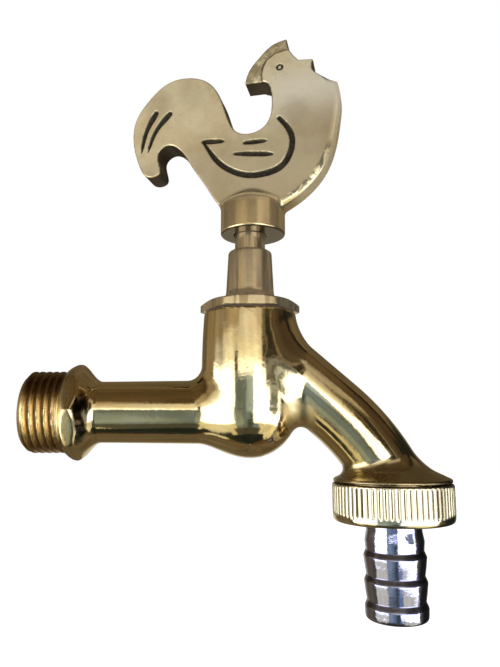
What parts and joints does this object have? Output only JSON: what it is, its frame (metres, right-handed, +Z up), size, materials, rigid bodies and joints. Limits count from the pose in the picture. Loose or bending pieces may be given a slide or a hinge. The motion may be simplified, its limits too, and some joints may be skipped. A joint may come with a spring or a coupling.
{
  "type": "garden tap",
  "caption": "Brass garden tap with a threaded inlet, a valve opened by a rooster handle, a curved spout, and a knurled union nut that holds a barbed hose tail.",
  "frame": {"origin": "on the inlet axis, where the plain end of the inlet thread meets the collar", "axes": "+X runs along the inlet axis from the thread to the valve chamber and on towards the spout, +Z is up along the spindle, and -Y faces the viewer of the picture"},
  "size_m": [0.1088, 0.0304, 0.1541],
  "materials": {
    "cast_brass": "cast, then polished bright",
    "machined_brass": "turned, with fine rings",
    "handle_brass": "brushed face, polished edges, dark in the engraving",
    "knurled_brass": "turned and knurled, bright",
    "plated_tail": "nickel plated, smooth",
    "black_rubber": "matte",
    "red_fibre": "matte fibre",
    "steel_screw": "black oxide"
  },
  "bodies": {
    "root": {"tap_body": "cast_brass", "bonnet": "machined_brass", "bonnet_gasket": "red_fibre"},
    "valve": {"valve_jumper": "machined_brass", "valve_washer": "black_rubber", "valve_washer_plate": "machined_brass", "valve_washer_nut": "machined_brass"},
    "handle": {"spindle": "machined_brass", "spindle_o_ring_lower": "black_rubber", "spindle_o_ring_upper": "black_rubber", "rooster_handle": "handle_brass", "handle_grub_screw": "steel_screw"},
    "union_seal": {"union_gasket": "black_rubber"},
    "nut": {"union_nut": "knurled_brass"},
    "tail": {"hose_tail": "plated_tail"}
  },
  "joints": [
    {"name": "valve_lift", "type": "slide", "parent": "root", "child": "valve", "axis": [0, 0, 1], "range_m": [0, 0.00501]},
    {"name": "handle_turn", "type": "hinge", "parent": "valve", "child": "handle", "pos_m": [0.047, 0, 0.0478], "axis": [0, 0, 1], "range_deg": [0, 900]},
    {"name": "union_travel", "type": "slide", "parent": "root", "child": "union_seal", "axis": [0, 0, -1], "range_m": [0, 0.00455]},
    {"name": "nut_turn", "type": "hinge", "parent": "union_seal", "child": "nut", "pos_m": [0.0833, 0, -0.0226], "axis": [0, 0, -1], "range_deg": [0, 900]},
    {"name": "tail_swivel", "type": "hinge", "parent": "union_seal", "child": "tail", "pos_m": [0.0833, 0, -0.035], "axis": [0, 0, 1], "continuous": true}
  ],
  "couplings": [
    {"joint": "valve_lift", "follows": "handle_turn", "m_per_rad": 0.00031831},
    {"joint": "union_travel", "follows": "nut_turn", "m_per_rad": 0.00028871}
  ]
}
